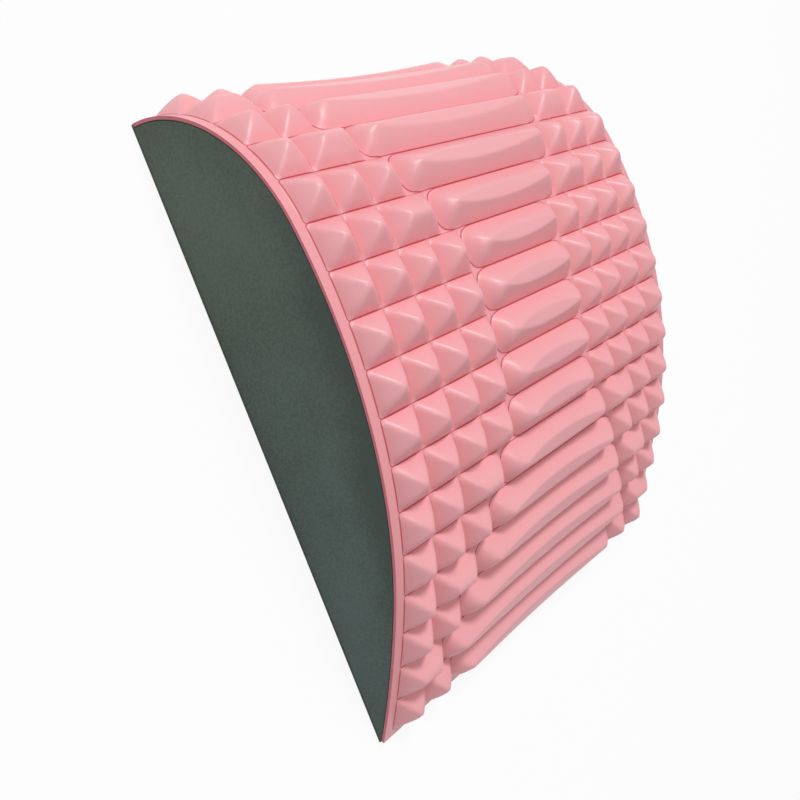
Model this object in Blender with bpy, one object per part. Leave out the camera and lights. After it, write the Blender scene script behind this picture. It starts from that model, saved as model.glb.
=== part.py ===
"""Lumbar stretch cushion: an arched foam core under a moulded massage sheet, on a thin base sheet.

Metres, +Z up. X runs along the massage bars, Y across them with the steep head end at +Y, and the
base sheet rests on the plane z = 0 with its middle at the origin.
"""
import math

import bmesh
import bpy

# Relief grid: rows follow each other over the arch, columns run in from both borders.
PITCH = 0.024
ROWS = 17
CENTRE_BAR = 0.088
SIDE_BORDER = 0.006
END_BORDER = 0.009

# The pyramids beside each row's bar, counted in half pitches from the border.
WIDEST_BLOCK = 8
WIDEST_ROWS = 5
NARROWEST_BLOCK = 3
END_ROW_BLOCK = 4

# Relief heights above the grooves, and the plan radius of a bar's corners.
PYRAMID_HEIGHT = 0.010
BAR_HEIGHT = 0.010
BAR_DISH = 0.003
BAR_CORNER = 0.0095
CORNER_SEGMENTS = 3
DISH_SEGMENTS = 6

# Arch at groove level: three arcs in line, from the head end to the tail end.
HEAD_RADIUS = 0.098
HEAD_SWEEP = math.radians(75.0)
BACK_RADIUS = 0.300
BACK_SWEEP = math.radians(39.0)
TAIL_RADIUS = 0.740

# Layers.
SHEET_WEB = 0.002
BASE_THICKNESS = 0.0015
GLUE_GAP = 0.0003

# Facets that meet at less than this are shaded as one curved surface.
SMOOTH_BELOW = math.radians(20.0)

HALF_PITCH = PITCH / 2
BLOCK_SPAN = WIDEST_BLOCK * HALF_PITCH
RELIEF_WIDTH = 2 * BLOCK_SPAN + CENTRE_BAR
SHEET_WIDTH = RELIEF_WIDTH + 2 * SIDE_BORDER
SHEET_LENGTH = ROWS * PITCH + 2 * END_BORDER
SEAT = BASE_THICKNESS + GLUE_GAP


def clear_scene():
    """Remove whatever the file opened with."""
    for thing in list(bpy.data.objects):
        bpy.data.objects.remove(thing, do_unlink=True)


def arc_chain(distance):
    """Return place and turn after a distance along the three arcs, which start out along +X."""
    arcs = (
        (HEAD_RADIUS, HEAD_RADIUS * HEAD_SWEEP),
        (BACK_RADIUS, BACK_RADIUS * BACK_SWEEP),
        (TAIL_RADIUS, math.inf),
    )
    along, up, turn = 0.0, 0.0, 0.0
    left = distance
    for radius, length in arcs:
        step = min(left, length)
        after = turn + step / radius
        along += radius * (math.sin(after) - math.sin(turn))
        up += radius * (math.cos(after) - math.cos(turn))
        turn = after
        left -= step
        if left <= 0:
            break
    return along, up, turn


def measure_footprint():
    """Return the footprint's length and the turn that lays both ends of the arch on the base sheet."""
    along, up, _ = arc_chain(SHEET_LENGTH)
    return math.hypot(along, up), math.atan2(-up, along)


FOOTPRINT, FOOT_TURN = measure_footprint()


def arch_point(x, distance, height):
    """Return a point over the arch: distance from the head foot, height along the outward normal."""
    along, up, turn = arc_chain(distance)
    cosine, sine = math.cos(FOOT_TURN), math.sin(FOOT_TURN)
    forward = along * cosine - up * sine
    rise = SEAT + along * sine + up * cosine
    lean = FOOT_TURN - turn
    forward -= height * math.sin(lean)
    rise += height * math.cos(lean)
    return x, FOOTPRINT / 2 - forward, rise


def seat_station(depth, from_head):
    """Return the distance along the arch where the curve at a depth meets the base sheet's seat."""
    crown = HEAD_RADIUS * HEAD_SWEEP
    outside, inside = (0.0, crown) if from_head else (SHEET_LENGTH, crown)
    for _ in range(60):
        middle = (outside + inside) / 2
        if arch_point(0.0, middle, -depth)[2] < SEAT:
            outside = middle
        else:
            inside = middle
    return (outside + inside) / 2


def row_line(row):
    """Return the distance from the head foot to the line before a row."""
    return END_BORDER + row * PITCH


def block_size(row):
    """Return how many half pitches of pyramids lie on each side of a row's bar."""
    from_middle = abs(row - (ROWS - 1) // 2)
    if row in (0, ROWS - 1):
        return END_ROW_BLOCK
    outside_widest = max(0, from_middle - (WIDEST_ROWS - 1) // 2)
    return max(NARROWEST_BLOCK, WIDEST_BLOCK - outside_widest)


def row_cells(row):
    """Return a row's cells in order along X, as (kind, start, end)."""
    half = RELIEF_WIDTH / 2
    block = block_size(row)
    edges = [count * PITCH for count in range(block // 2)] + [block * HALF_PITCH]
    near = [("pyramid", start - half, end - half) for start, end in zip(edges, edges[1:])]
    far = [("pyramid", -end, -start) for _, start, end in reversed(near)]
    return near + [("bar", near[-1][2], far[0][1])] + far


def line_breaks(line):
    """Return the sorted x of every corner that the rows beside a row line put on it."""
    breaks = {-RELIEF_WIDTH / 2, 0.0, RELIEF_WIDTH / 2}
    for row in (line - 1, line):
        if not 0 <= row < ROWS:
            continue
        for kind, start, end in row_cells(row):
            inset = BAR_CORNER if kind == "bar" else 0.0
            breaks.update((start, start + inset, end - inset, end))
    merged = []
    for value in sorted(breaks):
        if not merged or value - merged[-1] > 1e-6:
            merged.append(value)
    return merged


class SheetMesh:
    """Collects the massage sheet's faces over shared corners, written flat and bent over the arch."""

    def __init__(self):
        self.mesh = bmesh.new()
        self.corners = {}

    def corner(self, x, distance, height=0.0):
        key = (round(x, 6), round(distance, 6), round(height, 6))
        if key not in self.corners:
            self.corners[key] = self.mesh.verts.new(arch_point(x, distance, height))
        return self.corners[key]

    def face(self, corners):
        self.mesh.faces.new(corners)

    def fan(self, tip, rim):
        for first, second in zip(rim, rim[1:]):
            self.face((tip, first, second))

    def strip(self, low, high):
        """Fill between two rows of (x, corner), both in order of x, with triangles."""
        i, j = 0, 0
        while i < len(low) - 1 or j < len(high) - 1:
            step_low = j == len(high) - 1 or (i < len(low) - 1 and low[i + 1][0] <= high[j + 1][0])
            if step_low:
                self.face((low[i][1], low[i + 1][1], high[j][1]))
                i += 1
            else:
                self.face((low[i][1], high[j + 1][1], high[j][1]))
                j += 1

    def line(self, line, start, end):
        """Return the corners on a row line from one x to another."""
        distance = row_line(line)
        inside = [x for x in line_breaks(line) if start - 1e-6 < x < end + 1e-6]
        return [(x, self.corner(x, distance)) for x in inside]


def side_stations(row, beside_bar):
    """Return the distances of the corners down one side of a cell."""
    start, end = row_line(row), row_line(row + 1)
    middle = (start + end) / 2
    if beside_bar:
        return [start, start + BAR_CORNER, middle, end - BAR_CORNER, end]
    return [start, middle, end]


def add_pyramid(sheet, row, start, end, bar_sides):
    """Raise a pyramid, or a wide one with a short ridge, over one cell."""
    middle = row_line(row) + HALF_PITCH
    first = sheet.corner(start + HALF_PITCH, middle, PYRAMID_HEIGHT)
    last = sheet.corner(end - HALF_PITCH, middle, PYRAMID_HEIGHT)
    ridge = [(start + HALF_PITCH, first)]
    if last is not first:
        ridge.append((end - HALF_PITCH, last))
    sheet.strip(sheet.line(row, start, end), ridge)
    sheet.strip(sheet.line(row + 1, start, end), ridge)
    sheet.fan(first, [sheet.corner(start, d) for d in side_stations(row, bar_sides[0])])
    sheet.fan(last, [sheet.corner(end, d) for d in side_stations(row, bar_sides[1])])


def add_bar_end(sheet, row, x, inward):
    """Close one rounded end of a bar and the flat corners that it leaves beside the row lines."""
    middle = row_line(row) + HALF_PITCH
    peak = sheet.corner(x + inward * HALF_PITCH, middle, BAR_HEIGHT)
    for line, turn in ((row, 1), (row + 1, -1)):
        distance = row_line(line)
        rim = []
        for step in range(CORNER_SEGMENTS + 1):
            angle = math.radians(90.0) * step / CORNER_SEGMENTS
            across = x + inward * BAR_CORNER * (1 - math.sin(angle))
            down = distance + turn * BAR_CORNER * (1 - math.cos(angle))
            rim.append(sheet.corner(across, down))
        sheet.fan(sheet.corner(x, distance), rim)
        sheet.fan(peak, rim + [sheet.corner(x, middle)])


def add_bar(sheet, row, start, end):
    """Raise a bar with a roof section, rounded ends and a top dished along its length."""
    middle = row_line(row) + HALF_PITCH
    first, last = start + HALF_PITCH, end - HALF_PITCH
    upper, lower = [], []
    for step in range(DISH_SEGMENTS + 1):
        share = step / DISH_SEGMENTS
        x = first + (last - first) * share
        height = BAR_HEIGHT - BAR_DISH * 4 * share * (1 - share)
        spread = HALF_PITCH * (1 - height / BAR_HEIGHT)
        upper.append((x, sheet.corner(x, middle - spread, height)))
        lower.append((x, sheet.corner(x, middle + spread, height)))
    sheet.strip(sheet.line(row, start + BAR_CORNER, end - BAR_CORNER), upper)
    sheet.strip(sheet.line(row + 1, start + BAR_CORNER, end - BAR_CORNER), lower)
    sheet.fan(upper[0][1], [upper[1][1], lower[1][1]])
    sheet.fan(upper[-1][1], [upper[-2][1], lower[-2][1]])
    sheet.strip(upper[1:-1], lower[1:-1])
    add_bar_end(sheet, row, start, 1)
    add_bar_end(sheet, row, end, -1)


def add_row(sheet, row):
    """Fill one row from border to border."""
    cells = row_cells(row)
    kinds = [kind for kind, _, _ in cells]
    for index, (kind, start, end) in enumerate(cells):
        if kind == "bar":
            add_bar(sheet, row, start, end)
        else:
            before = index > 0 and kinds[index - 1] == "bar"
            after = index + 1 < len(cells) and kinds[index + 1] == "bar"
            add_pyramid(sheet, row, start, end, (before, after))


def top_stations():
    """Return the distances of the corners down the sheet's long edges."""
    halves = [END_BORDER + count * HALF_PITCH for count in range(2 * ROWS + 1)]
    return [0.0] + halves + [SHEET_LENGTH]


def under_stations():
    """Return the distances of the corners on the underside, whose ends are trimmed at the seat."""
    inner = top_stations()[1:-1]
    head = seat_station(SHEET_WEB, True)
    tail = seat_station(SHEET_WEB, False)
    return [head] + [d for d in inner if head + 1e-4 < d < tail - 1e-4] + [tail]


def add_borders(sheet):
    """Lay the flat borders round the relief."""
    half, edge = RELIEF_WIDTH / 2, SHEET_WIDTH / 2
    stations = top_stations()
    for side in (-1, 1):
        for first, second in zip(stations[1:-1], stations[2:-1]):
            sheet.face((
                sheet.corner(side * edge, first),
                sheet.corner(side * edge, second),
                sheet.corner(side * half, second),
                sheet.corner(side * half, first),
            ))
    for line, distance in ((0, 0.0), (ROWS, SHEET_LENGTH)):
        inner = sheet.line(line, -half, half)
        inner = [(-edge, sheet.corner(-edge, row_line(line)))] + inner
        inner = inner + [(edge, sheet.corner(edge, row_line(line)))]
        outer = [(x, sheet.corner(x, distance)) for x in (-edge, edge)]
        sheet.strip(inner, outer)


def add_underside(sheet):
    """Close the sheet with its smooth underside, cut edges and trimmed ends."""
    edge = SHEET_WIDTH / 2
    top, under = top_stations(), under_stations()
    for first, second in zip(under, under[1:]):
        sheet.face((
            sheet.corner(-edge, first, -SHEET_WEB),
            sheet.corner(edge, first, -SHEET_WEB),
            sheet.corner(edge, second, -SHEET_WEB),
            sheet.corner(-edge, second, -SHEET_WEB),
        ))
    for side in (-1, 1):
        upper = [(d, sheet.corner(side * edge, d)) for d in top]
        lower = [(d, sheet.corner(side * edge, d, -SHEET_WEB)) for d in under]
        sheet.strip(upper, lower)
    for upper, lower in ((top[0], under[0]), (top[-1], under[-1])):
        sheet.face((
            sheet.corner(-edge, upper),
            sheet.corner(edge, upper),
            sheet.corner(edge, lower, -SHEET_WEB),
            sheet.corner(-edge, lower, -SHEET_WEB),
        ))


def link_mesh(name, mesh, material):
    """Turn a finished bmesh into a named object with its material."""
    bmesh.ops.recalc_face_normals(mesh, faces=mesh.faces)
    data = bpy.data.meshes.new(name)
    mesh.to_mesh(data)
    mesh.free()
    data.shade_smooth()
    data.set_sharp_from_angle(angle=SMOOTH_BELOW)
    data.materials.append(material)
    part = bpy.data.objects.new(name, data)
    bpy.context.scene.collection.objects.link(part)
    return part


def make_material(name, colour, roughness):
    """Make a plain Principled material."""
    material = bpy.data.materials.new(name)
    material.use_nodes = True
    shader = material.node_tree.nodes["Principled BSDF"]
    shader.inputs["Base Color"].default_value = (*colour, 1.0)
    shader.inputs["Roughness"].default_value = roughness
    shader.inputs["Metallic"].default_value = 0.0
    return material


def cover_material():
    """Soft pink moulded foam."""
    return make_material("pink_moulded_foam", (0.87, 0.40, 0.43), 0.55)


def core_material():
    """Dark green-grey cut foam."""
    return make_material("dark_core_foam", (0.075, 0.100, 0.082), 0.95)


def base_material():
    """Darker, closed-cell foam sheet."""
    return make_material("dark_base_foam", (0.045, 0.060, 0.050), 0.85)


def extrude_section(name, section, material):
    """Extrude a closed outline in the YZ plane along X, over the sheet's width."""
    mesh = bmesh.new()
    ends = []
    for x in (-SHEET_WIDTH / 2, SHEET_WIDTH / 2):
        ends.append([mesh.verts.new((x, y, z)) for y, z in section])
    near, far = ends
    mesh.faces.new(near)
    mesh.faces.new(list(reversed(far)))
    count = len(section)
    for index in range(count):
        after = (index + 1) % count
        mesh.faces.new((near[index], far[index], far[after], near[after]))
    return link_mesh(name, mesh, material)


def build_massage_sheet():
    """The moulded sheet: borders, pyramids and bars in one skin over a thin web."""
    sheet = SheetMesh()
    for row in range(ROWS):
        add_row(sheet, row)
    add_borders(sheet)
    add_underside(sheet)
    return link_mesh("massage_sheet", sheet.mesh, cover_material())


def build_foam_core():
    """The arched block that fills the space between the massage sheet and the base sheet."""
    depth = SHEET_WEB + GLUE_GAP
    head = seat_station(depth, True)
    tail = seat_station(depth, False)
    inner = [d for d in top_stations()[1:-1] if head + 1e-3 < d < tail - 1e-3]
    section = [arch_point(0.0, d, -depth)[1:] for d in [head] + inner + [tail]]
    return extrude_section("foam_core", section, core_material())


def build_base_sheet():
    """The thin flat sheet under the core, as long as the arch's footprint."""
    half = FOOTPRINT / 2
    section = [(-half, 0.0), (half, 0.0), (half, BASE_THICKNESS), (-half, BASE_THICKNESS)]
    return extrude_section("base_sheet", section, base_material())


def main():
    clear_scene()
    build_massage_sheet()
    build_foam_core()
    build_base_sheet()


main()
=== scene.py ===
"""Lumbar stretch cushion: a moulded foam massage sheet over an arched foam core, on a base sheet.

The relief of pyramids and dished bars follows one rule, which the mesh and the material both read.
"""

import math

import bmesh
import bpy
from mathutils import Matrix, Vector


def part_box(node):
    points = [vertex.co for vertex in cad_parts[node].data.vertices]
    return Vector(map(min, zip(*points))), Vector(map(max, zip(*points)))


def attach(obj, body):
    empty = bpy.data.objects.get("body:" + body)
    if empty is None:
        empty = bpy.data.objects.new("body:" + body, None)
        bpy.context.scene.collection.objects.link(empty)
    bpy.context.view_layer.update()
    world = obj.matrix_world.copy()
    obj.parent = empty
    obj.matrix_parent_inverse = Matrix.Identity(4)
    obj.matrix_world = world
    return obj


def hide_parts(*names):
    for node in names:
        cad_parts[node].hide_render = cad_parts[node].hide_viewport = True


bl_info = {
    "name": "Lumbar Stretch Cushion",
    "version": (1, 0, 0),
    "blender": (4, 5, 0),
    "location": "3D View > Sidebar > Cushion",
    "description": "Builds the foam pieces of a lumbar stretch cushion over its packed frame",
    "category": "Object",
}

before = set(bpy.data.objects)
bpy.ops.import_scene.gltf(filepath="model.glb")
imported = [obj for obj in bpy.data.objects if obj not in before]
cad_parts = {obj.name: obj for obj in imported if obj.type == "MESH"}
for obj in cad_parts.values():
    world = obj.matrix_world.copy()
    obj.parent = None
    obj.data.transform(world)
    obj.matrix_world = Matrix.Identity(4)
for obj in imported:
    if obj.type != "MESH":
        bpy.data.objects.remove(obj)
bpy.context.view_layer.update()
CORE_LOW, CORE_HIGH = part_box("foam_core")
BASE_LOW, BASE_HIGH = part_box("base_sheet")

# Fixed values of the stage, with lengths in metres
CAMERA_PLACE = (-0.41980, 0.05662, 0.39711)
CAMERA_TURN_DEGREES = (12.967, -42.772, -28.679)
CAMERA_NEAR, CAMERA_FAR = 0.01, 20.0
SENSOR_WIDTH_MM = 36.0
KEY_LAMP_PLACE = (0.0, 1.53, 2.15)
TOP_LAMP_PLACE = (-0.54, 0.39, 2.56)
TAIL_LAMP_PLACE = (0.5, -1.7, 1.25)
LAMP_SIZE = 0.55
LAMP_AIM = (0.0, 0.0, 0.05)
FLOOR_REACH = 6.0
FLOOR_DROP = 0.0004
# How far the camera sees plain white in place of the floor's own shaded colour
FLOOR_WHITENESS = 0.9
WHITE = (1.0, 1.0, 1.0, 1.0)

# Mesh steps over half a pitch of pyramids, the shortest bar, a side border and an end border
HALF_STEPS, BAR_STEPS, SIDE_STEPS, END_STEPS = 10, 56, 3, 4
# Mesh lines up half a row: on its slope, across the bar's top edge, and on the top
SLOPE_STEPS, EDGE_STEPS, TOP_STEPS = 6, 2, 3
LINE_STEPS = SLOPE_STEPS + EDGE_STEPS + TOP_STEPS
# Mesh lines of the core along its arch
CORE_LINES = 160

# Points this close to each other are merged
MERGE_DISTANCE = 2e-6
# An edge runs along the sheet when its ends are this close in X
SAME_ACROSS = 1e-6
# A point is on the sheet's underside when it is deeper than this share of the web
UNDERSIDE_SHARE = 0.9
# A point of the core is on its arch when it is higher than this over the lowest one
ABOVE_SEAT = 1e-5
# Edges stay sharp from these angles
SHEET_SHARP_FROM = math.radians(50.0)
BLOCK_SHARP_FROM = math.radians(30.0)
# The base sheet ends under the sheet's leaning cut edge, so it is trimmed by a little less
BASE_TRIM_SHARE = 0.85
BASE_ROUNDING = 0.0004


# Settings that a user would change

class CushionArch(bpy.types.PropertyGroup):
    """The three tangent arcs that the sheet's groove level follows, from head foot to tail foot."""

    head_radius: bpy.props.FloatProperty(
        name="Head Radius", description="Radius of the steep arc at the head end",
        default=0.098, min=0.02, unit="LENGTH")
    head_sweep: bpy.props.FloatProperty(
        name="Head Sweep", description="Turn of the head arc",
        default=math.radians(75.0), min=0.1, subtype="ANGLE", unit="ROTATION")
    back_radius: bpy.props.FloatProperty(
        name="Back Radius", description="Radius of the long arc under the lower back",
        default=0.300, min=0.05, unit="LENGTH")
    back_sweep: bpy.props.FloatProperty(
        name="Back Sweep", description="Turn of the back arc",
        default=math.radians(39.0), min=0.1, subtype="ANGLE", unit="ROTATION")
    tail_radius: bpy.props.FloatProperty(
        name="Tail Radius", description="Radius of the nearly straight arc down to the tail end",
        default=0.740, min=0.1, unit="LENGTH")


class CushionRelief(bpy.types.PropertyGroup):
    """Sizes and colours of the moulded pyramids, bars and borders."""

    pitch: bpy.props.FloatProperty(
        name="Pitch", description="Width of a row and of a pyramid",
        default=0.024, min=0.005, unit="LENGTH")
    rows: bpy.props.IntProperty(
        name="Rows", description="Rows from the head end to the tail end",
        default=17, min=3, max=40)
    centre_bar: bpy.props.FloatProperty(
        name="Centre Bar", description="Length of the shortest bar",
        default=0.088, min=0.03, unit="LENGTH")
    side_border: bpy.props.FloatProperty(
        name="Side Border", description="Flat border beside the relief",
        default=0.006, min=0.001, unit="LENGTH")
    end_border: bpy.props.FloatProperty(
        name="End Border", description="Flat border at each end of the relief",
        default=0.009, min=0.001, unit="LENGTH")
    tail_trim: bpy.props.FloatProperty(
        name="Tail Trim",
        description="Length cut off the border at the tail end, which leaves a cut edge there",
        default=0.0035, min=0.0, max=0.006, unit="LENGTH")
    widest_block: bpy.props.IntProperty(
        name="Widest Block", description="Half pitches of pyramids beside the shortest bars",
        default=8, min=4)
    widest_rows: bpy.props.IntProperty(
        name="Widest Rows", description="Middle rows that have the shortest bars",
        default=5, min=1)
    narrowest_block: bpy.props.IntProperty(
        name="Narrowest Block", description="Half pitches of pyramids beside the longest bars",
        default=3, min=2)
    pyramid_height: bpy.props.FloatProperty(
        name="Pyramid Height", description="Height of a pyramid's sharp tip before its rounding",
        default=0.0120, min=0.001, unit="LENGTH")
    roof_height: bpy.props.FloatProperty(
        name="Roof Height",
        description="Height at which a bar's two sides would meet over its dished top",
        default=0.0123, min=0.001, unit="LENGTH")
    bar_height: bpy.props.FloatProperty(
        name="Bar Height", description="Height of a bar at its two peaks",
        default=0.0106, min=0.001, unit="LENGTH")
    bar_dish: bpy.props.FloatProperty(
        name="Bar Dish", description="Depth of the hollow between a bar's two peaks",
        default=0.0029, min=0.0, unit="LENGTH")
    bar_end: bpy.props.FloatProperty(
        name="Bar End", description="Length of a bar's sloping end, up to its peak",
        default=0.0135, min=0.001, unit="LENGTH")
    peak_sharpness: bpy.props.FloatProperty(
        name="Peak Sharpness",
        description="Power that joins a bar's end to its sides near its peak",
        default=2.1, min=1.5, max=30.0)
    corner_sharpness: bpy.props.FloatProperty(
        name="Corner Sharpness",
        description="What is added to that power towards the corners of the bar's outline",
        default=1.4, min=0.0, max=30.0)
    end_bulge: bpy.props.FloatProperty(
        name="End Bulge",
        description="How much a bar's sloping ends swell, as a share of its height",
        default=0.4, min=0.0, max=1.0, subtype="FACTOR")
    peak_softness: bpy.props.FloatProperty(
        name="Peak Softness",
        description="Rounding of a bar's peaks, as a share of half a pitch",
        default=0.10, min=0.01, max=0.5, subtype="FACTOR")
    edge_softness: bpy.props.FloatProperty(
        name="Edge Softness",
        description="Rounding of the dished top's edge, as a share of the roof's height",
        default=0.05, min=0.001, max=0.3, subtype="FACTOR")
    tip_softness: bpy.props.FloatProperty(
        name="Tip Softness",
        description="Rounding of tips and ridges, as a share of half a pitch",
        default=0.14, min=0.01, max=0.5, subtype="FACTOR")
    hip_sharpness: bpy.props.FloatProperty(
        name="Hip Sharpness", description="Power that joins two faces of a pyramid over their hip",
        default=7.0, min=2.0, max=30.0)
    face_bulge: bpy.props.FloatProperty(
        name="Face Bulge",
        description="How much a pyramid's faces swell, as a share of its height",
        default=0.2, min=0.0, max=0.6, subtype="FACTOR")
    head_lowering: bpy.props.FloatProperty(
        name="Head Lowering",
        description="Share by which the rows next to the steep head end stand lower",
        default=0.16, min=0.0, max=0.6, subtype="FACTOR")
    web: bpy.props.FloatProperty(
        name="Web", description="Thickness of the sheet under its grooves",
        default=0.002, min=0.0005, unit="LENGTH")
    colour: bpy.props.FloatVectorProperty(
        name="Colour", description="Colour of the moulded skin",
        default=(0.893, 0.418, 0.445), size=3, min=0.0, max=1.0, subtype="COLOR")
    # Painted shade: the pressed lines' dark colour stands for the shade down in these narrow
    # grooves
    crease_shade_colour: bpy.props.FloatVectorProperty(
        name="Crease Colour", description="Colour in the pressed line round each cell",
        default=(0.64, 0.09, 0.115), size=3, min=0.0, max=1.0, subtype="COLOR")
    cut_colour: bpy.props.FloatVectorProperty(
        name="Cut Colour", description="Colour of the sheet's cut edge",
        default=(0.80, 0.225, 0.265), size=3, min=0.0, max=1.0, subtype="COLOR")


class CushionFoam(bpy.types.PropertyGroup):
    """Sizes and colours of the foam under the massage sheet."""

    base_thickness: bpy.props.FloatProperty(
        name="Base Thickness", description="Thickness of the flat base sheet",
        default=0.0015, min=0.0005, unit="LENGTH")
    glue_gap: bpy.props.FloatProperty(
        name="Glue Gap", description="Gap that the glue film fills between two layers",
        default=0.0003, min=0.0, unit="LENGTH")
    core_colour: bpy.props.FloatVectorProperty(
        name="Core Colour", description="Colour of the cut foam core",
        default=(0.118, 0.158, 0.134), size=3, min=0.0, max=1.0, subtype="COLOR")
    base_colour: bpy.props.FloatVectorProperty(
        name="Base Colour", description="Colour of the flat base sheet",
        default=(0.098, 0.134, 0.116), size=3, min=0.0, max=1.0, subtype="COLOR")


class CushionStage(bpy.types.PropertyGroup):
    """Camera, lamps and floor."""

    lens: bpy.props.FloatProperty(
        name="Lens", description="Focal length in millimetres",
        default=40.71, min=5.0)
    floor_colour: bpy.props.FloatVectorProperty(
        name="Floor Colour", description="Colour of the pale floor",
        default=(0.9, 0.9, 0.9), size=3, min=0.0, max=1.0, subtype="COLOR")
    world_strength: bpy.props.FloatProperty(
        name="World Strength", description="Level of the soft light from all round",
        default=0.27, min=0.0)
    key_power: bpy.props.FloatProperty(
        name="Key Power", description="Power of the soft lamp beyond the head end",
        default=36.0, min=0.0, unit="POWER")
    top_power: bpy.props.FloatProperty(
        name="Top Power", description="Power of the soft lamp nearly overhead",
        default=12.9, min=0.0, unit="POWER")
    tail_power: bpy.props.FloatProperty(
        name="Tail Power", description="Power of the faint lamp beyond the tail end",
        default=2.4, min=0.0, unit="POWER")


class Settings:
    """The scene's four groups of settings under short names."""

    def __init__(self, scene):
        self.arch = scene.cushion_arch
        self.relief = scene.cushion_relief
        self.foam = scene.cushion_foam
        self.stage = scene.cushion_stage


# Node trees written as expressions

class Value:
    """One number of a node tree. Arithmetic on it adds Math nodes."""

    def __init__(self, graph, socket):
        self.graph = graph
        self.socket = socket

    def math(self, operation, *others):
        return self.graph.math(operation, self, *others)

    def __add__(self, other):
        return self.math("ADD", other)

    __radd__ = __add__

    def __sub__(self, other):
        return self.math("SUBTRACT", other)

    def __rsub__(self, other):
        return self.graph.math("SUBTRACT", other, self)

    def __mul__(self, other):
        return self.math("MULTIPLY", other)

    __rmul__ = __mul__

    def __truediv__(self, other):
        return self.math("DIVIDE", other)

    def __rtruediv__(self, other):
        return self.graph.math("DIVIDE", other, self)

    def __pow__(self, other):
        return self.math("POWER", other)

    def __abs__(self):
        return self.math("ABSOLUTE")

    def floor(self):
        return self.math("FLOOR")

    def root(self):
        return self.math("SQRT")

    def least(self, other):
        return self.math("MINIMUM", other)

    def most(self, other):
        return self.math("MAXIMUM", other)

    def above(self, other):
        return self.math("GREATER_THAN", other)

    def clamped(self, low, high):
        return self.most(low).least(high)

    def eased(self, low, high):
        """0 at low and 1 at high, with a smooth step between them."""
        share = ((self - low) / (high - low)).clamped(0.0, 1.0)
        return share * share * (3.0 - 2.0 * share)


class Graph:
    """Adds nodes to a tree, with numbers or links on their sockets and settings by name."""

    def __init__(self, tree):
        self.tree = tree
        self.tree.nodes.clear()
        self.group_input = None

    def node(self, kind, inputs=None, **settings):
        """Add a node and return it."""
        made = self.tree.nodes.new(kind)
        for name, value in settings.items():
            setattr(made, name, value)
        for key, value in (inputs or {}).items():
            self.feed(made.inputs[key], value)
        return made

    def feed(self, socket, value):
        """Put a number, a colour or a link on a socket."""
        if isinstance(value, Value):
            value = value.socket
        if isinstance(value, bpy.types.NodeSocket):
            self.tree.links.new(value, socket)
        else:
            socket.default_value = value

    def math(self, operation, *values):
        made = self.node("ShaderNodeMath", dict(enumerate(values)), operation=operation)
        return Value(self, made.outputs[0])

    def parts(self, vector):
        """Return the X, Y and Z of a vector."""
        split = self.node("ShaderNodeSeparateXYZ", {0: vector})
        return [Value(self, part) for part in split.outputs]

    def vector(self, x, y, z):
        """Return the vector of three numbers."""
        return self.node("ShaderNodeCombineXYZ", {0: x, 1: y, 2: z}).outputs[0]

    def named_input(self, name, kind="NodeSocketFloat"):
        """Add a named input to the tree and return it."""
        self.tree.interface.new_socket(name=name, in_out="INPUT", socket_type=kind)
        if self.group_input is None:
            self.group_input = self.tree.nodes.new("NodeGroupInput")
        return Value(self, self.group_input.outputs[name])

    def result(self, geometry):
        """End a geometry tree with its result."""
        self.tree.interface.new_socket(
            name="Geometry", in_out="OUTPUT", socket_type="NodeSocketGeometry")
        self.node("NodeGroupOutput", {0: geometry})


# The rule of the relief

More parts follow.
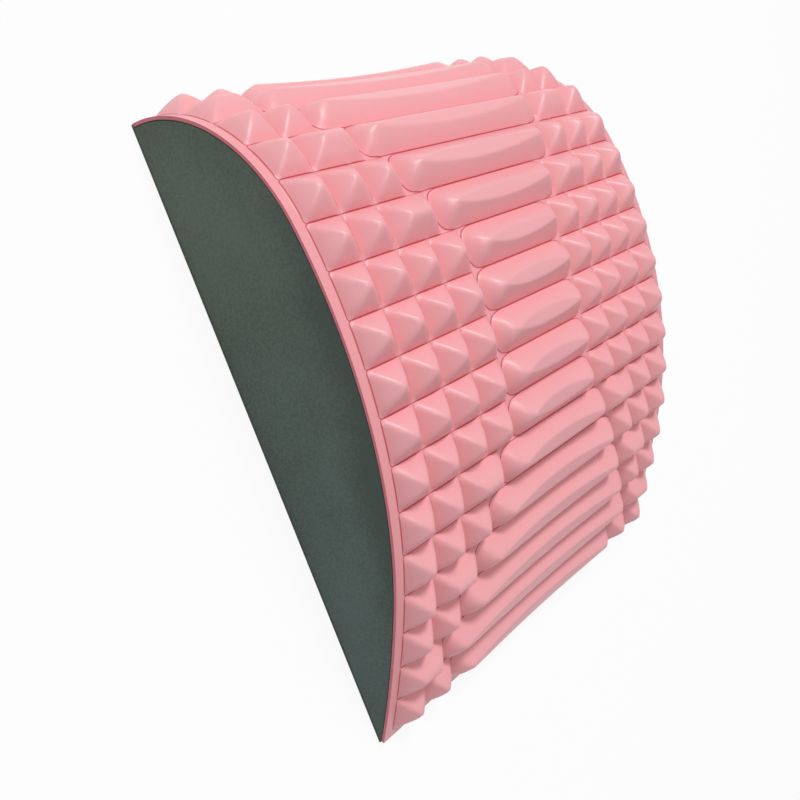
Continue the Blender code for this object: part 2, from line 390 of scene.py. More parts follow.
class ReliefRule:
    """Where the cells of the relief lie and how high they stand.

    Its sizes are plain numbers or a tree's inputs, under the names that relief_values gives them.
    """

    # Share of the way up a roof where the mesh has its close lines, away from a bar's top edge
    free_edge = 0.7
    # Rows, counted from the head end, between which the lowering there fades out
    lowered_rows = (0.6, 3.4)
    # A pressed line's half width at full depth, its reach, and its radius at the side border
    line_core, line_reach, line_corner = 0.0001, 0.0005, 0.0018
    # Depth of the lines between the pyramids of a row, against 1 for the others, so the painted
    # shade is full in the lines along the rows, where the light from the head end can't reach
    faint = 0.35
    # Distance from those lines over which the line along the row is fainter too
    crossing = 0.0006

    def __init__(self, sizes):
        self.sizes = sizes
        self.half_pitch = sizes["Pitch"] / 2
        self.widest = sizes["Widest Block"]
        self.relief_width = sizes["Centre Bar"] + 2 * self.widest * self.half_pitch
        self.bar_end = sizes["Bar End"] / self.half_pitch

    def locate(self, across, along):
        """Return a point's distance from the side border, its offset from the ridge, and its row.

        The distance is in half pitches. The offset is 0 on the row's ridge and 1 on its grooves.
        """
        sizes = self.sizes
        turn = (along - sizes["End Border"]) / sizes["Pitch"]
        row = turn.floor().clamped(0.0, sizes["Rows"] - 1)
        return self.from_border(across), abs((turn - row) * 2 - 1), row

    def from_border(self, across):
        """Return the distance from the nearer side border, in half pitches."""
        return (self.relief_width / 2 - abs(across)) / self.half_pitch

    def block(self, row):
        """Return how many half pitches of pyramids stand on each side of a row's bar."""
        sizes = self.sizes
        middle_row = (sizes["Rows"] - 1) / 2
        from_middle = abs(row - middle_row)
        outside_widest = (from_middle - (sizes["Widest Rows"] - 1) / 2).most(0.0)
        end_row = from_middle.above(middle_row - 0.5)
        return (self.widest - outside_widest).most(sizes["Narrowest Block"]) + end_row

    def beside_top(self, edge, block):
        """Return the offset from a pyramid's top along its row: 0 on the top, 1 on the groove.

        In a block with an odd number of half pitches the innermost pyramid is half as wide again.
        """
        cells = (block / 2).floor()
        cell = (edge / 2).floor().clamped(0.0, cells - 1)
        last = cell.above(cells - 1.5)
        half_width = 1 + last * (block - 2 * cells) / 2
        return (abs(edge - 2 * cell - half_width) - (half_width - 1)).most(0.0)

    def joined(self, first, second, soft, power):
        """Join two offsets into one, with the top and the hips rounded off."""
        terms = [
            ((offset * offset + soft * soft) / (1 + soft * soft)) ** (power * 0.5)
            for offset in (first, second)]
        return sum(terms) ** (1 / power)

    def bar_inside(self, edge, from_ridge, block):
        """Return how far inside a bar's rounded outline a point lies, as a share of its roof."""
        sizes = self.sizes
        to_end = (1 - (edge - block) / self.bar_end).most(0.0)
        power = to_end * from_ridge * sizes["Corner Sharpness"] + sizes["Peak Sharpness"]
        inside = 1 - self.joined(to_end, from_ridge, sizes["Peak Softness"], power)
        return inside + inside * (1 - inside) * to_end.eased(0.0, 0.5) * sizes["End Bulge"]

    def bar_top(self, edge, block):
        """Return the dished top's level as a share of the roof's height."""
        sizes = self.sizes
        half_length = self.relief_width / 2 / self.half_pitch - block
        share = ((edge - block - self.bar_end) / (half_length - self.bar_end)).clamped(0.0, 1.0)
        dish = sizes["Bar Dish"] * share * (2 - share)
        return (sizes["Bar Height"] - dish) / sizes["Roof Height"]

    def top_edge(self, edge, block):
        """Return how far up the roof the mesh has its close lines."""
        rise = ((edge - block) / self.bar_end).clamped(0.0, 1.0)
        return self.free_edge + (self.bar_top(edge, block) - self.free_edge) * rise

    def height(self, across, along):
        """Return the relief's height over the groove level."""
        sizes = self.sizes
        edge, from_ridge, row = self.locate(across, along)
        block = self.block(row)
        joined = self.joined(
            from_ridge, self.beside_top(edge, block), sizes["Tip Softness"], sizes["Hip Sharpness"])
        swelling = 1 + joined * sizes["Face Bulge"]
        pyramid = (1 - joined).most(0.0) * swelling * sizes["Pyramid Height"]
        inside = self.bar_inside(edge, from_ridge, block)
        roof = inside.math("SMOOTH_MIN", self.bar_top(edge, block), sizes["Edge Softness"])
        bar = roof.most(0.0) * sizes["Roof Height"]
        in_bar = edge.above(block)
        share = 1 - sizes["Head Lowering"] * (1 - row.eased(*self.lowered_rows))
        return (pyramid + (bar - pyramid) * in_bar) * share

    def pressed(self, distance):
        """Return the depth of a pressed line at a distance from its middle, from 0 to 1."""
        return 1 - abs(distance).eased(self.line_core, self.line_reach)

    def crease(self, across, along):
        """Return how deep a point lies in the lines along the rows, round the bars and pyramids."""
        edge, from_ridge, row = self.locate(across, along)
        block = self.block(row)
        to_border = self.line_corner - edge * self.half_pitch
        to_row = self.line_corner - (1 - from_ridge) * self.half_pitch
        out_border, out_row = to_border.most(0.0), to_row.most(0.0)
        round_part = (out_border * out_border + out_row * out_row).root()
        outline = self.pressed(
            self.line_corner - round_part - to_border.most(to_row).least(0.0))
        from_column = (1 - self.beside_top(edge, block)) * self.half_pitch
        off_border = edge.above(0.5)
        shallow = self.faint + (1 - self.faint) * from_column.eased(0.0, self.crossing)
        row_line = outline * shallow.most(1 - off_border)
        in_row = 1 - from_ridge.above(1.0)
        column_line = self.faint * self.pressed(from_column) * off_border * in_row
        round_pyramids = row_line.most(column_line)
        round_bar = self.pressed(self.bar_inside(edge, from_ridge, block) * self.half_pitch)
        in_bar = edge.above(block)
        return (round_pyramids + (round_bar - round_pyramids) * in_bar) * edge.above(-0.1)


def relief_values(relief):
    """Return the relief's sizes by the names that its rule reads."""
    return {
        "Pitch": relief.pitch,
        "Rows": float(relief.rows),
        "Centre Bar": relief.centre_bar,
        "Side Border": relief.side_border,
        "End Border": relief.end_border,
        "Tail Trim": relief.tail_trim,
        "Widest Block": float(relief.widest_block),
        "Widest Rows": float(relief.widest_rows),
        "Narrowest Block": float(relief.narrowest_block),
        "Pyramid Height": relief.pyramid_height,
        "Roof Height": relief.roof_height,
        "Bar Height": relief.bar_height,
        "Bar Dish": relief.bar_dish,
        "Bar End": relief.bar_end,
        "Peak Sharpness": relief.peak_sharpness,
        "Corner Sharpness": relief.corner_sharpness,
        "End Bulge": relief.end_bulge,
        "Peak Softness": relief.peak_softness,
        "Edge Softness": relief.edge_softness,
        "Tip Softness": relief.tip_softness,
        "Hip Sharpness": relief.hip_sharpness,
        "Face Bulge": relief.face_bulge,
        "Head Lowering": relief.head_lowering,
    }


# The arch

def walk_arcs(arch, distance):
    """Return how far forward and up the arcs reach at a distance, and how far they turn."""
    arcs = (
        (arch.head_radius, arch.head_radius * arch.head_sweep),
        (arch.back_radius, arch.back_radius * arch.back_sweep),
        (arch.tail_radius, math.inf),
    )
    forward, up, turn, left = 0.0, 0.0, 0.0, distance
    for radius, span in arcs:
        step = min(left, span)
        after = turn + step / radius
        forward += radius * (math.sin(after) - math.sin(turn))
        up += radius * (math.cos(after) - math.cos(turn))
        turn = after
        left -= step
    return forward, up, turn


def sheet_length(relief):
    """Return the massage sheet's length along the arch."""
    return relief.rows * relief.pitch + 2 * relief.end_border


def seat_station(arch, relief, depth, from_head):
    """Return the distance along the arch where the curve at a depth comes down to its feet."""
    forward, up, _ = walk_arcs(arch, sheet_length(relief))
    foot_turn = math.atan2(-up, forward)
    foot = 0.0 if from_head else sheet_length(relief)
    outside, inside = foot, arch.head_radius * arch.head_sweep
    halvings = 50
    for _ in range(halvings):
        middle = (outside + inside) / 2
        forward, up, turn = walk_arcs(arch, middle)
        lift = forward * math.sin(foot_turn) + up * math.cos(foot_turn)
        if lift - depth * math.cos(foot_turn - turn) < 0.0:
            outside = middle
        else:
            inside = middle
    return (outside + inside) / 2


def arch_inputs(graph, settings, depth):
    """Add the arch's named inputs to a tree. Return their values and sockets by name.

    The depth is that of the piece's inner side under the groove level.
    """
    arch, relief, foam = settings.arch, settings.relief, settings.foam
    forward, up, _ = walk_arcs(arch, sheet_length(relief))
    values = {
        "Head Radius": arch.head_radius,
        "Head Sweep": arch.head_sweep,
        "Back Radius": arch.back_radius,
        "Back Sweep": arch.back_sweep,
        "Tail Radius": arch.tail_radius,
        "Footprint": math.hypot(forward, up),
        "Foot Turn": math.atan2(-up, forward),
        "Seat": foam.base_thickness + foam.glue_gap,
        "Depth": depth,
        "Head Station": seat_station(arch, relief, depth, True),
        "Tail Station": seat_station(arch, relief, depth, False),
    }
    return values, {name: graph.named_input(name) for name in values}


def bend_over_arch(across, along, height, sizes):
    """Return the X, Y and Z of a point given flat on the sheet and bent over the arch."""
    starts = (0.0, sizes["Head Radius"] * sizes["Head Sweep"])
    starts += (starts[1] + sizes["Back Radius"] * sizes["Back Sweep"],)
    turns = (0.0, sizes["Head Sweep"], sizes["Head Sweep"] + sizes["Back Sweep"])
    radii = (sizes["Head Radius"], sizes["Back Radius"], sizes["Tail Radius"])
    forward, up, turned = 0.0, 0.0, 0.0
    for index, radius in enumerate(radii):
        step = (along - starts[index]).most(0.0)
        if index + 1 < len(radii):
            step = step.least(starts[index + 1] - starts[index])
        start = turns[index]
        after = step / radius + start
        start_sine = start.math("SINE") if isinstance(start, Value) else math.sin(start)
        start_cosine = start.math("COSINE") if isinstance(start, Value) else math.cos(start)
        forward = (after.math("SINE") - start_sine) * radius + forward
        up = (after.math("COSINE") - start_cosine) * radius + up
        turned = step / radius + turned
    cosine, sine = sizes["Foot Turn"].math("COSINE"), sizes["Foot Turn"].math("SINE")
    lean = sizes["Foot Turn"] - turned
    reach = forward * cosine - up * sine - height * lean.math("SINE")
    rise = forward * sine + up * cosine + height * lean.math("COSINE") + sizes["Seat"]
    return across, sizes["Footprint"] / 2 - reach, rise


# Geometry trees and the plain meshes that they give

def graded(share):
    """Move evenly spread shares closer together near each whole number."""
    closeness = 0.3
    return share - (share * math.tau).math("SINE") * (closeness / math.tau)


def passed(count, start, steps):
    """Return how many of some steps a count has done after its start."""
    return (count - start).clamped(0.0, steps)


def slab_lines(graph, columns, lines):
    """Add a slab of columns and lines.

    Return it, the column and line of each point, and 1 on its upper side or 0 on its lower one.
    """
    slab = graph.node("GeometryNodeMeshCube", {
        "Size": (1.0, 1.0, 1.0),
        "Vertices X": columns + 1, "Vertices Y": lines + 1, "Vertices Z": 2})
    x, y, z = graph.parts(graph.node("GeometryNodeInputPosition").outputs[0])
    return slab.outputs["Mesh"], (x + 0.5) * columns, (y + 0.5) * lines, z.above(0.0)


def sheet_across(rule, column, columns, block_steps):
    """Return how far across the sheet its columns lie, closer together at the cells' edges."""
    sizes = rule.sizes
    bar_start = SIDE_STEPS + block_steps
    first_block = graded(passed(column, SIDE_STEPS, block_steps) / HALF_STEPS)
    second_block = graded(passed(column, bar_start + BAR_STEPS, block_steps) / HALF_STEPS)
    bar = graded(passed(column, bar_start, BAR_STEPS) / BAR_STEPS)
    sides = passed(column, 0, SIDE_STEPS) + passed(column, columns - SIDE_STEPS, SIDE_STEPS)
    width = rule.relief_width + 2 * sizes["Side Border"]
    across = (first_block + second_block) * rule.half_pitch + bar * sizes["Centre Bar"]
    return across + sides / SIDE_STEPS * sizes["Side Border"] - width / 2


def sheet_along(rule, line, halves, across):
    """Return how far along the sheet its lines lie, over a number of half rows.

    Two of the lines follow the top edge of each bar, on both sides of it.
    """
    sizes = rule.sizes
    row_lines = halves * LINE_STEPS
    done = passed(line, END_STEPS, row_lines)
    half = (done / LINE_STEPS).floor().least(halves - 1)
    row = (half / 2).floor()
    falling = half - row * 2
    done = done - half * LINE_STEPS
    climbed = done + falling * (LINE_STEPS - 2 * done)
    top_edge = rule.top_edge(rule.from_border(across), rule.block(row))
    soft = sizes["Edge Softness"]
    up_roof = passed(climbed, 0, SLOPE_STEPS) / SLOPE_STEPS * (top_edge - soft)
    up_roof = up_roof + passed(climbed, SLOPE_STEPS, EDGE_STEPS) / EDGE_STEPS * soft * 2
    in_top = passed(climbed, SLOPE_STEPS + EDGE_STEPS, TOP_STEPS) / TOP_STEPS
    up_roof = up_roof + in_top * (1 - top_edge - soft)
    head_end = passed(line, 0, END_STEPS) / END_STEPS
    tail_end = passed(line, END_STEPS + row_lines, END_STEPS) / END_STEPS
    along = (half + up_roof + falling * (1 - 2 * up_roof)) * rule.half_pitch
    along = along + head_end * sizes["End Border"]
    return along + tail_end * (sizes["End Border"] - sizes["Tail Trim"])


def sheet_tree(settings):
    """Build the geometry tree of the massage sheet. Return it with its input values."""
    relief = settings.relief
    tree = bpy.data.node_groups.new("Massage Sheet Shape", "GeometryNodeTree")
    graph = Graph(tree)
    values, sizes = arch_inputs(graph, settings, relief.web)
    reliefs = relief_values(relief)
    values.update(reliefs)
    sizes.update({name: graph.named_input(name) for name in reliefs})
    skin = graph.named_input("Skin", "NodeSocketMaterial")
    cut = graph.named_input("Cut", "NodeSocketMaterial")

    rule = ReliefRule(sizes)
    halves = 2 * relief.rows
    block_steps = relief.widest_block * HALF_STEPS
    columns = 2 * (SIDE_STEPS + block_steps) + BAR_STEPS
    lines = 2 * END_STEPS + halves * LINE_STEPS
    slab, column, line, on_top = slab_lines(graph, columns, lines)
    across = sheet_across(rule, column, columns, block_steps)
    along = sheet_along(rule, line, halves, across)
    height = (rule.height(across, along) + sizes["Depth"]) * on_top - sizes["Depth"]
    seated = along.clamped(sizes["Head Station"], sizes["Tail Station"])
    along = seated + (along - seated) * on_top
    flat = graph.vector(across, along, height)
    bent = graph.vector(*bend_over_arch(across, along, height, sizes))

    # The slab's narrow sides are the sheet's cut edges
    upright = graph.parts(graph.node("GeometryNodeInputNormal").outputs[0])[2]
    edge_faces = graph.node("GeometryNodeCaptureAttribute", {0: slab}, domain="FACE")
    edge_faces.capture_items.new("FLOAT", "Edge")
    graph.feed(edge_faces.inputs["Edge"], graph.math("LESS_THAN", abs(upright), 0.5))
    stored = graph.node("GeometryNodeStoreNamedAttribute", {
        "Geometry": edge_faces.outputs[0], "Name": "flat_place", "Value": flat},
        data_type="FLOAT_VECTOR", domain="POINT")
    moved = graph.node("GeometryNodeSetPosition", {
        "Geometry": stored.outputs[0], "Position": bent})
    real = graph.node("GeometryNodeRealizeInstances", {0: moved.outputs[0]})
    skinned = graph.node("GeometryNodeSetMaterial", {
        "Geometry": real.outputs[0], "Material": skin})
    cut_faces = graph.node("GeometryNodeSetMaterial", {
        "Geometry": skinned.outputs[0], "Selection": edge_faces.outputs["Edge"], "Material": cut})
    graph.result(cut_faces.outputs[0])
    return tree, values


def core_tree(settings):
    """Build the geometry tree of the foam core: the arch's section, flat below.

    Return it with its input values.
    """
    tree = bpy.data.node_groups.new("Foam Core Shape", "GeometryNodeTree")
    graph = Graph(tree)
    values, sizes = arch_inputs(graph, settings, settings.relief.web + settings.foam.glue_gap)
    values["Width"] = CORE_HIGH[0] - CORE_LOW[0]
    sizes["Width"] = graph.named_input("Width")
    foam = graph.named_input("Foam", "NodeSocketMaterial")
    slab, column, line, on_top = slab_lines(graph, 1, CORE_LINES)
    arch_length = sizes["Tail Station"] - sizes["Head Station"]
    along = sizes["Head Station"] + arch_length * line / CORE_LINES
    across = (column - 0.5) * sizes["Width"]
    x, y, z = bend_over_arch(across, along, -1 * sizes["Depth"], sizes)
    z = sizes["Seat"] + (z - sizes["Seat"]) * on_top
    moved = graph.node("GeometryNodeSetPosition", {
        "Geometry": slab, "Position": graph.vector(x, y, z)})
    real = graph.node("GeometryNodeRealizeInstances", {0: moved.outputs[0]})
    skinned = graph.node("GeometryNodeSetMaterial", {
        "Geometry": real.outputs[0], "Material": foam})
    graph.result(skinned.outputs[0])
    return tree, values


def run_tree(name, tree, values):
    """Run a geometry tree on an empty mesh. Return its result as a plain mesh at the origin."""
    holder = bpy.data.objects.new(name + "_source", bpy.data.meshes.new(name + "_source"))
    bpy.context.scene.collection.objects.link(holder)
    modifier = holder.modifiers.new("Shape", "NODES")
    modifier.node_group = tree
    for item in tree.interface.items_tree:
        if item.item_type == "SOCKET" and item.in_out == "INPUT":
            modifier[item.identifier] = values[item.name]
    evaluated = holder.evaluated_get(bpy.context.evaluated_depsgraph_get())
    mesh = bpy.data.meshes.new_from_object(evaluated)
    if len(mesh.polygons) == 0:
        raise RuntimeError(name + " came out of its geometry tree without faces")
    holder.modifiers.remove(modifier)
    bpy.data.objects.remove(holder, do_unlink=True)
    mesh.name = name
    piece = bpy.data.objects.new(name, mesh)
    bpy.context.scene.collection.objects.link(piece)
    return piece


def join_underside(piece, depth):
    """Join the sheet's underside into strips from side to side, because it is plain there."""
    work = bmesh.new()
    work.from_mesh(piece.data)
    bmesh.ops.remove_doubles(work, verts=work.verts, dist=MERGE_DISTANCE)
    flat = work.verts.layers.float_vector["flat_place"]
    under = {vert for vert in work.verts if vert[flat].z < -UNDERSIDE_SHARE * depth}
    faces = {face for face in work.faces if under.issuperset(face.verts)}
    lengthwise = []
    for edge in work.edges:
        first, second = edge.verts
        if faces.issuperset(edge.link_faces) and abs(first.co.x - second.co.x) < SAME_ACROSS:
            lengthwise.append(edge)
    bmesh.ops.dissolve_edges(work, edges=lengthwise, use_verts=True)
    work.to_mesh(piece.data)
    work.free()


def finish_mesh(piece, sharp_from):
    """Merge what meets, turn the faces outwards and keep only the edges over an angle sharp."""
    work = bmesh.new()
    work.from_mesh(piece.data)
    bmesh.ops.remove_doubles(work, verts=work.verts, dist=MERGE_DISTANCE)
    bmesh.ops.recalc_face_normals(work, faces=work.faces)
    work.to_mesh(piece.data)
    work.free()
    piece.data.shade_smooth()
    piece.data.set_sharp_from_angle(angle=sharp_from)


# Materials

def new_material(name):
    """Return a new material with its graph and a Principled shader joined to the output."""
    material = bpy.data.materials.new(name)
    material.use_nodes = True
    graph = Graph(material.node_tree)
    shader = graph.node("ShaderNodeBsdfPrincipled")
    graph.node("ShaderNodeOutputMaterial", {"Surface": shader.outputs[0]})
    return material, graph, shader


def tinted(colour, red, green, blue):
    """Return a colour with its three channels multiplied, and full alpha."""
    return (colour[0] * red, colour[1] * green, colour[2] * blue, 1.0)


def mixed(graph, share, first, second):
    """Mix two colours by a share."""
    node = graph.node("ShaderNodeMix", {0: share, 6: first, 7: second}, data_type="RGBA")
    return node.outputs[2]


def noise(graph, vector, scale, detail, roughness=0.5):
    """Return the value of a noise texture."""
    node = graph.node("ShaderNodeTexNoise", {
        "Vector": vector, "Scale": scale, "Detail": detail, "Roughness": roughness})
    return Value(graph, node.outputs[0])


def add_bump(graph, shader, strength, distance, height):
    """Give a shader a bump from a height."""
    bump = graph.node("ShaderNodeBump", {
        "Strength": strength, "Distance": distance, "Height": height})
    graph.feed(shader.inputs["Normal"], bump.outputs[0])


def skin_material(settings):
    """The moulded pink skin: satin foam, with painted shade that deepens its colour down in the
    grooves.

    The pressed lines round the cells are bumped in as grooves and carry darker painted shade,
    strongest along the rows; they follow the rule of the relief.
    """
    relief = settings.relief
    material, graph, shader = new_material("moulded_pink_skin")
    flat = graph.node("ShaderNodeAttribute", attribute_name="flat_place")
    across, along, height = graph.parts(flat.outputs["Vector"])
    in_line = ReliefRule(relief_values(relief)).crease(across, along)
    # Painted shade: low down in the grooves the skin turns deeper and redder, standing for shade
    # and light bounced between the slopes
    groove_shade = 1 - height.eased(-0.001, 0.008)
    body = graph.node("ShaderNodeTexCoord").outputs["Object"]
    cloud = noise(graph, body, scale=28.0, detail=3.0)
    grain = noise(graph, body, scale=2600.0, detail=2.0)
    lumps = noise(graph, body, scale=240.0, detail=2.0)
    pale = (*(min(1.0, channel * 1.05 + 0.012) for channel in relief.colour), 1.0)
    # The skin's colour in the painted shade of the grooves
    deep = tinted(relief.colour, 1.0, 0.91, 0.92)
    clouded = mixed(graph, cloud, (*relief.colour, 1.0), pale)
    base = mixed(graph, groove_shade, clouded, deep)
    # Painted shade in the pressed lines round the cells, which the bump below also presses in as
    # grooves
    lined = mixed(graph, in_line * 0.95, base, (*relief.crease_shade_colour, 1.0))
    graph.feed(shader.inputs["Base Color"], lined)
    shader.inputs["Roughness"].default_value = 0.36
    shader.inputs["Specular IOR Level"].default_value = 0.42
    add_bump(
        graph, shader, strength=0.6, distance=0.0006,
        height=grain * 0.06 + lumps * 0.10 - in_line * 0.6)
    return material


def cut_edge_material(settings):
    """The cut edge: open foam cells, darker than the skin, over a thin dark film of glue that also
    carries painted shade in the joint.
    """
    colour, web = settings.relief.cut_colour, settings.relief.web
    material, graph, shader = new_material("cut_pink_edge")
    body = graph.node("ShaderNodeTexCoord").outputs["Object"]
    cells = noise(graph, body, scale=900.0, detail=3.0, roughness=0.6)
    foam = mixed(graph, cells, tinted(colour, 0.86, 0.86, 0.86), (*colour, 1.0))
    flat = graph.node("ShaderNodeAttribute", attribute_name="flat_place")
    depth = -1 * graph.parts(flat.outputs["Vector"])[2]
    # Glue film along the foot of the cut edge, darkened further as painted shade of the joint under
    # the sheet
    glue_and_shade = depth.eased(web * 0.80, web * 0.92)
    glue = tinted(settings.foam.core_colour, 0.5, 0.5, 0.5)
    graph.feed(shader.inputs["Base Color"], mixed(graph, glue_and_shade, foam, glue))
    shader.inputs["Roughness"].default_value = 0.85
    add_bump(graph, shader, strength=0.4, distance=0.0004, height=cells)
    return material


def foam_material(name, colour, cell_scale, by_arch):
    """Dark cut foam: fine closed cells, slow changes of tone, faint marks of the cutting wire, and
    painted light that makes it lighter and warmer towards the head.

    Where by_arch is set, painted shade makes the foam darker close under the massage sheet and in
    its middle.
    """
    material, graph, shader = new_material(name)
    body = graph.node("ShaderNodeTexCoord").outputs["Object"]
    cells = noise(graph, body, scale=cell_scale, detail=2.0, roughness=0.55)
    grain = noise(graph, body, scale=480.0, detail=3.0, roughness=0.7)
    stains = noise(graph, body, scale=70.0, detail=5.0, roughness=0.65)
    cloud = noise(graph, body, scale=22.0, detail=3.0)
    wire = graph.node("ShaderNodeMapping", {"Vector": body, "Scale": (1.0, 3.0, 140.0)})
    streaks = noise(graph, wire.outputs[0], scale=1.0, detail=4.0)

    towards_head = graph.parts(body)[1]
    # Painted light: the foam turns lighter and warmer towards the head, where the light falls, and
    # cooler towards the tail
    head_light = (towards_head + cloud * 0.10 - 0.05).eased(-0.15, 0.17)
    tail_shade_colour, head_lit_colour = tinted(colour, 1.12, 1.14, 1.28), tinted(colour, 1.24, 1.18, 1.09)
    darkness = (
        (1 - cells.eased(0.30, 0.55)) * 0.30
        + streaks.eased(0.5, 0.8) * 0.15
        + grain.eased(0.40, 0.60) * 0.36
        + cloud.eased(0.35, 0.70) * 0.26
        + stains.eased(0.35, 0.70) * 0.14
        - 0.30)
    if by_arch:
        # Painted shade: darker close under the massage sheet, where the sheet shades the foam, and
        # darker in the middle of the side
        middle_shade = 1 - abs(towards_head + cloud * 0.04 - 0.02).eased(0.03, 0.13)
        under = graph.node("ShaderNodeAttribute", attribute_name="under_sheet")
        sheet_shadow = 1 - Value(graph, under.outputs["Fac"]).eased(-0.012, 0.030)
        darkness = darkness + middle_shade * 0.30 + sheet_shadow * (0.55 + 0.6 * middle_shade)
    tone = mixed(graph, head_light, tail_shade_colour, head_lit_colour)
    shaded = mixed(graph, darkness, tone, tinted(colour, 0.70, 0.70, 0.70))
    graph.feed(shader.inputs["Base Color"], shaded)
    shader.inputs["Roughness"].default_value = 0.9
    shader.inputs["Specular IOR Level"].default_value = 0.3
    add_bump(graph, shader, strength=0.5, distance=0.0004, height=cells + streaks * 0.4)
    return material


def floor_material(colour):
    """The pale floor: it shows nearly white to the camera and keeps a soft shadow."""
    material, graph, shader = new_material("pale_floor")
    shader.inputs["Base Color"].default_value = (*colour, 1.0)
    shader.inputs["Roughness"].default_value = 0.9
    path = graph.node("ShaderNodeLightPath")
    seen = Value(graph, path.outputs["Is Camera Ray"])
    for ray in ("Is Glossy Ray", "Is Transmission Ray"):
        seen = seen.most(Value(graph, path.outputs[ray]))
    white = graph.node("ShaderNodeEmission", {"Color": WHITE, "Strength": 1.0})
    floor = graph.node("ShaderNodeMixShader", {
        0: seen * FLOOR_WHITENESS, 1: shader.outputs[0], 2: white.outputs[0]})
    output = graph.tree.get_output_node("ALL")
    graph.feed(output.inputs["Surface"], floor.outputs[0])
    return material


# Pieces

class CUSHION_OT_stage(bpy.types.Operator):
    """Make the camera, the lamps and the pale floor"""

    bl_idname = "cushion.stage"
    bl_label = "Make Stage"

    def execute(self, context):
        scene = context.scene
        stage = Settings(scene).stage
        self.add_camera(scene, stage)
        self.add_floor(scene, stage)
        self.add_world(scene, stage)
        self.add_lamp(scene, "key_lamp", KEY_LAMP_PLACE, stage.key_power)
        self.add_lamp(scene, "top_lamp", TOP_LAMP_PLACE, stage.top_power)
        self.add_lamp(scene, "tail_lamp", TAIL_LAMP_PLACE, stage.tail_power)
        scene.view_settings.view_transform = "Standard"
        return {"FINISHED"}

    def add_camera(self, scene, stage):
        """Put the camera at the photograph's viewing angle."""
        camera = bpy.data.objects.new("camera", bpy.data.cameras.new("camera"))
        camera.data.sensor_width = SENSOR_WIDTH_MM
        camera.data.lens = stage.lens
        camera.data.clip_start, camera.data.clip_end = CAMERA_NEAR, CAMERA_FAR
        camera.location = CAMERA_PLACE
        camera.rotation_euler = [math.radians(turn) for turn in CAMERA_TURN_DEGREES]
        scene.collection.objects.link(camera)
        scene.camera = camera

    def add_floor(self, scene, stage):
        """Lay the floor just under the cushion."""
        mesh = bpy.data.meshes.new("floor")
        corners = [
            (x * FLOOR_REACH, y * FLOOR_REACH, 0.0)
            for x, y in ((-1, -1), (1, -1), (1, 1), (-1, 1))]
        mesh.from_pydata(corners, [], [(0, 1, 2, 3)])
        mesh.materials.append(floor_material(stage.floor_colour))
        floor = bpy.data.objects.new("floor", mesh)
        floor.location = (0.0, 0.0, -FLOOR_DROP)
        scene.collection.objects.link(floor)

    def add_world(self, scene, stage):
        """Light the scene softly from all round, and show plain white to the camera."""
        world = bpy.data.worlds.new("soft_surround")
        world.use_nodes = True
        graph = Graph(world.node_tree)
        seen = Value(graph, graph.node("ShaderNodeLightPath").outputs["Is Camera Ray"])
        strength = seen * (1.0 - stage.world_strength) + stage.world_strength
        sky = graph.node("ShaderNodeBackground", {"Color": WHITE, "Strength": strength})
        graph.node("ShaderNodeOutputWorld", {"Surface": sky.outputs[0]})
        scene.world = world

    def add_lamp(self, scene, name, place, power):
        """Hang a square lamp that points at the middle of the cushion."""
        lamp = bpy.data.lights.new(name, "AREA")
        lamp.shape = "SQUARE"
        lamp.size = LAMP_SIZE
        lamp.energy = power
        lamp_object = bpy.data.objects.new(name, lamp)
        lamp_object.location = place
        aim = Vector(LAMP_AIM) - Vector(place)
        lamp_object.rotation_euler = aim.to_track_quat("-Z", "Y").to_euler()
        scene.collection.objects.link(lamp_object)


def join_frame(piece, node):
    """Let a piece of solid foam ride on the root body and stand for its CAD node."""
    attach(piece, "root")
    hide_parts(node)


class CUSHION_OT_massage_sheet(bpy.types.Operator):
    """Make the moulded massage sheet with its pyramids and dished bars"""

    bl_idname = "cushion.massage_sheet"
    bl_label = "Make Massage Sheet"

    def execute(self, context):
        settings = Settings(context.scene)
        tree, values = sheet_tree(settings)
        values["Skin"] = skin_material(settings)
        values["Cut"] = cut_edge_material(settings)
        piece = run_tree("massage_sheet_moulded", tree, values)
        join_underside(piece, settings.relief.web)
        finish_mesh(piece, SHEET_SHARP_FROM)
        join_frame(piece, "massage_sheet")
        return {"FINISHED"}


class CUSHION_OT_foam_core(bpy.types.Operator):
    """Make the solid foam core under the massage sheet"""

    bl_idname = "cushion.foam_core"
    bl_label = "Make Foam Core"

    def execute(self, context):
        settings = Settings(context.scene)
        tree, values = core_tree(settings)
        values["Foam"] = foam_material(
            "cut_core_foam", settings.foam.core_colour, cell_scale=1500.0, by_arch=True)
        piece = run_tree("foam_core_cut", tree, values)
        finish_mesh(piece, BLOCK_SHARP_FROM)
        self.store_depth(piece)
        join_frame(piece, "foam_core")
        return {"FINISHED"}

    def store_depth(self, piece):
        """Keep each point's distance from the massage sheet, for the material's painted shade under
        the sheet.
        """
        vertices = piece.data.vertices
        seat = min(vert.co.z for vert in vertices) + ABOVE_SEAT
        arch = [vert.co.yz for vert in vertices if vert.co.z > seat]
        depth = piece.data.attributes.new("under_sheet", "FLOAT", "POINT")
        for vert, item in zip(vertices, depth.data):
            item.value = min((vert.co.yz - point).length for point in arch)


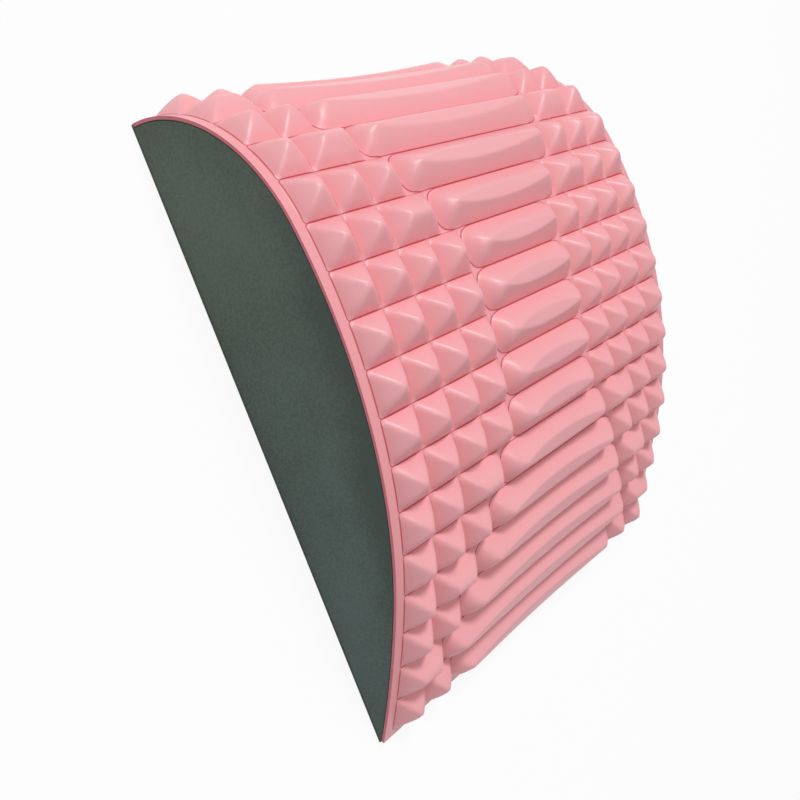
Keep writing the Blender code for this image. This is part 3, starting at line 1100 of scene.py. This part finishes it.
class CUSHION_OT_base_sheet(bpy.types.Operator):
    """Make the flat base sheet that the cushion stands on"""

    bl_idname = "cushion.base_sheet"
    bl_label = "Make Base Sheet"

    def execute(self, context):
        settings = Settings(context.scene)
        low, high = Vector(BASE_LOW), Vector(BASE_HIGH)
        low.y += settings.relief.tail_trim * BASE_TRIM_SHARE
        size, middle = high - low, (high + low) / 2
        work = bmesh.new()
        bmesh.ops.create_cube(work, size=1.0)
        for vert in work.verts:
            vert.co = Vector([vert.co[axis] * size[axis] + middle[axis] for axis in range(3)])
        bmesh.ops.bevel(
            work, geom=work.edges[:], offset=BASE_ROUNDING, segments=2, profile=0.5,
            affect="EDGES")
        mesh = bpy.data.meshes.new("base_sheet_flat")
        work.to_mesh(mesh)
        work.free()
        mesh.materials.append(foam_material(
            "base_foam", settings.foam.base_colour, cell_scale=1800.0, by_arch=False))
        piece = bpy.data.objects.new("base_sheet_flat", mesh)
        context.scene.collection.objects.link(piece)
        finish_mesh(piece, BLOCK_SHARP_FROM)
        join_frame(piece, "base_sheet")
        return {"FINISHED"}


class CUSHION_PT_panel(bpy.types.Panel):
    """Lists the pieces of the cushion in the sidebar"""

    bl_idname = "CUSHION_PT_panel"
    bl_label = "Lumbar Stretch Cushion"
    bl_space_type = "VIEW_3D"
    bl_region_type = "UI"
    bl_category = "Cushion"

    def draw(self, context):
        for operator in OPERATORS:
            self.layout.operator(operator.bl_idname)


GROUPS = {
    "cushion_arch": CushionArch,
    "cushion_relief": CushionRelief,
    "cushion_foam": CushionFoam,
    "cushion_stage": CushionStage,
}
OPERATORS = (
    CUSHION_OT_stage,
    CUSHION_OT_massage_sheet,
    CUSHION_OT_foam_core,
    CUSHION_OT_base_sheet,
)


def register():
    for cls in (*GROUPS.values(), *OPERATORS, CUSHION_PT_panel):
        bpy.utils.register_class(cls)
    for name, group in GROUPS.items():
        setattr(bpy.types.Scene, name, bpy.props.PointerProperty(type=group))


def unregister():
    for name in GROUPS:
        delattr(bpy.types.Scene, name)
    for cls in reversed((*GROUPS.values(), *OPERATORS, CUSHION_PT_panel)):
        bpy.utils.unregister_class(cls)


def main():
    register()
    bpy.ops.cushion.stage()
    bpy.ops.cushion.massage_sheet()
    bpy.ops.cushion.foam_core()
    bpy.ops.cushion.base_sheet()


if __name__ == "__main__":
    main()
